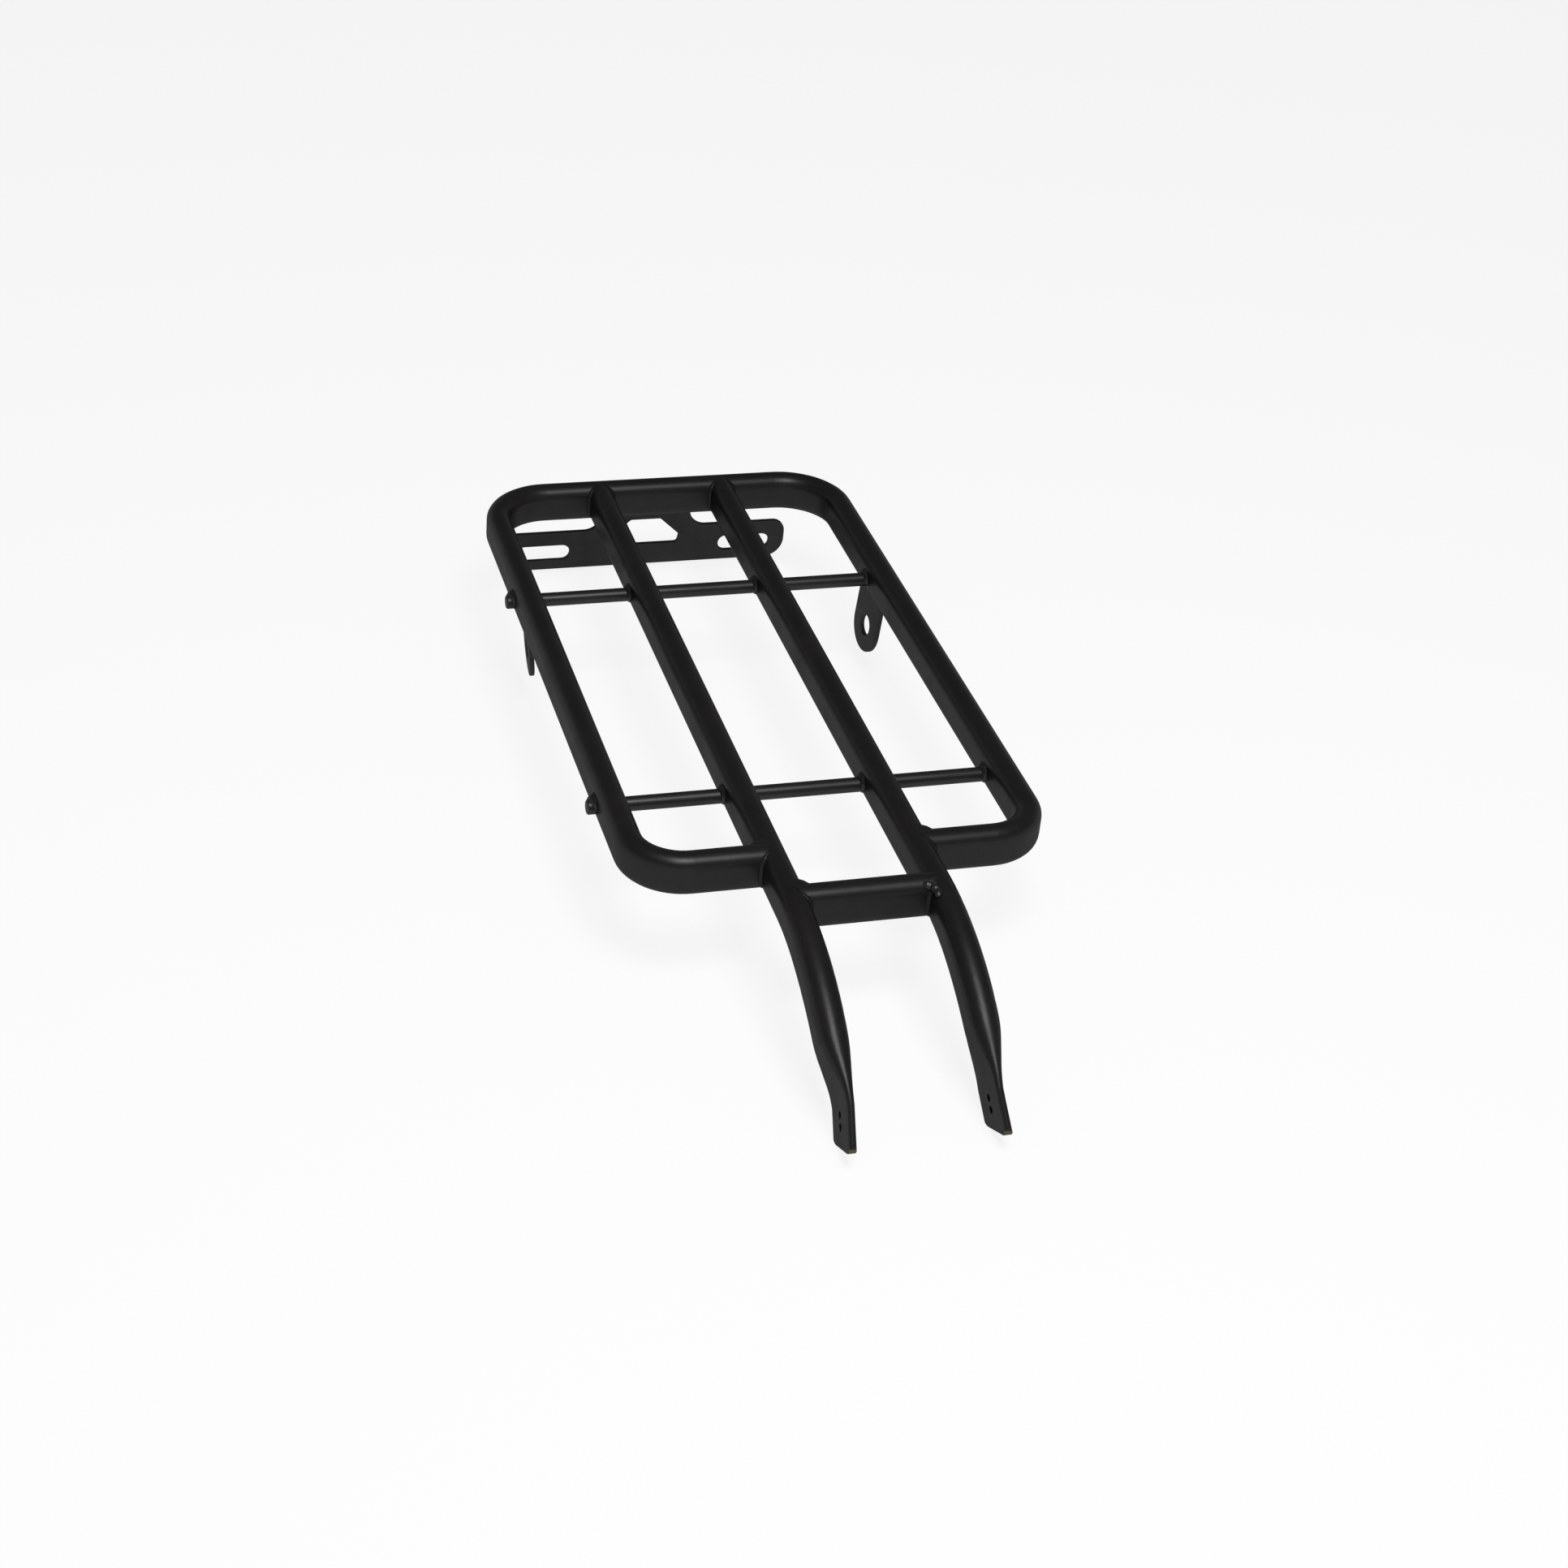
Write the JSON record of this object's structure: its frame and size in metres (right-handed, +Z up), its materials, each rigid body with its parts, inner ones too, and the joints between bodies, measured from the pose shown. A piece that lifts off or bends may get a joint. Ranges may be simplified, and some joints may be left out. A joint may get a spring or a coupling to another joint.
{
  "type": "rear luggage carrier",
  "caption": "Flat carrier of welded oval tube: rounded loop, inner rails curving down into flattened bolt tabs, cross rods, side lugs and a slotted rear plate, coated satin black.",
  "frame": {"origin": "middle of the bounding box in plan, on the ground under the lowest points of the arms", "axes": "+X to the right side, +Y to the rear plate, +Z up out of the platform"},
  "size_m": [0.2214, 0.5592, 0.0727],
  "materials": {
    "tube_coat": "satin black coat",
    "rod_coat": "satin black coat",
    "sheet_coat": "satin black coat",
    "weld_coat": "satin black coat"
  },
  "bodies": {
    "root": {"outer_loop": "tube_coat", "left_rail": "tube_coat", "right_rail": "tube_coat", "front_crossbar": "tube_coat", "front_rod": "rod_coat", "rear_rod": "rod_coat", "left_stay_lug": "sheet_coat", "right_stay_lug": "sheet_coat", "rear_plate": "sheet_coat", "left_loop_weld": "weld_coat", "left_crossbar_weld": "weld_coat", "left_rear_weld": "weld_coat", "left_lug_weld": "weld_coat", "right_loop_weld": "weld_coat", "right_crossbar_weld": "weld_coat", "right_rear_weld": "weld_coat", "right_lug_weld": "weld_coat", "plate_weld": "weld_coat", "front_rod_welds": "weld_coat", "rear_rod_welds": "weld_coat"}
  },
  "joints": []
}
